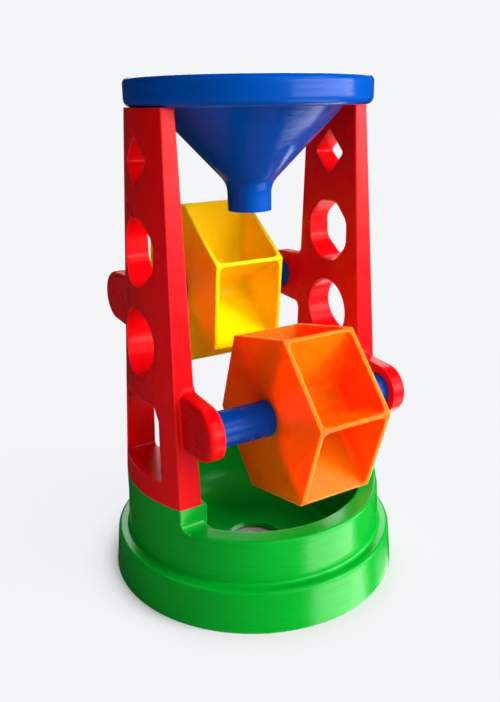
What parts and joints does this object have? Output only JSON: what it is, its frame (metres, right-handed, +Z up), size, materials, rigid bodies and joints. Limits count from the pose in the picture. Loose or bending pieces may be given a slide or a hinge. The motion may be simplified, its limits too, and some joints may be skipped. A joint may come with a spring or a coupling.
{
  "type": "double sand wheel toy",
  "caption": "Free-standing sand and water mill toy: a funnel on side panels feeds offset paddle wheels that spin on long axles above a round catch-bowl base.",
  "frame": {"origin": "centre of the round foot, on the plane it stands on", "axes": "+X along both axles to the right, +Y to the rear (the upper wheel's side), +Z up"},
  "size_m": [0.16, 0.1827, 0.263],
  "materials": {
    "base_green": "glossy injection-moulded",
    "panel_red": "glossy injection-moulded",
    "funnel_blue": "glossy injection-moulded",
    "axle_blue": "glossy injection-moulded",
    "wheel_yellow": "glossy injection-moulded",
    "wheel_orange": "glossy injection-moulded"
  },
  "bodies": {
    "stand": {"base": "base_green", "left_panel": "panel_red", "right_panel": "panel_red", "funnel": "funnel_blue"},
    "upper_spinner": {"upper_axle": "axle_blue", "upper_wheel": "wheel_yellow"},
    "lower_spinner": {"lower_axle": "axle_blue", "lower_wheel": "wheel_orange"}
  },
  "joints": [
    {"name": "upper_spin", "type": "hinge", "parent": "stand", "child": "upper_spinner", "pos_m": [0, 0.047, 0.151], "axis": [1, 0, 0], "continuous": true},
    {"name": "lower_spin", "type": "hinge", "parent": "stand", "child": "lower_spinner", "pos_m": [0, -0.047, 0.104], "axis": [1, 0, 0], "continuous": true}
  ]
}
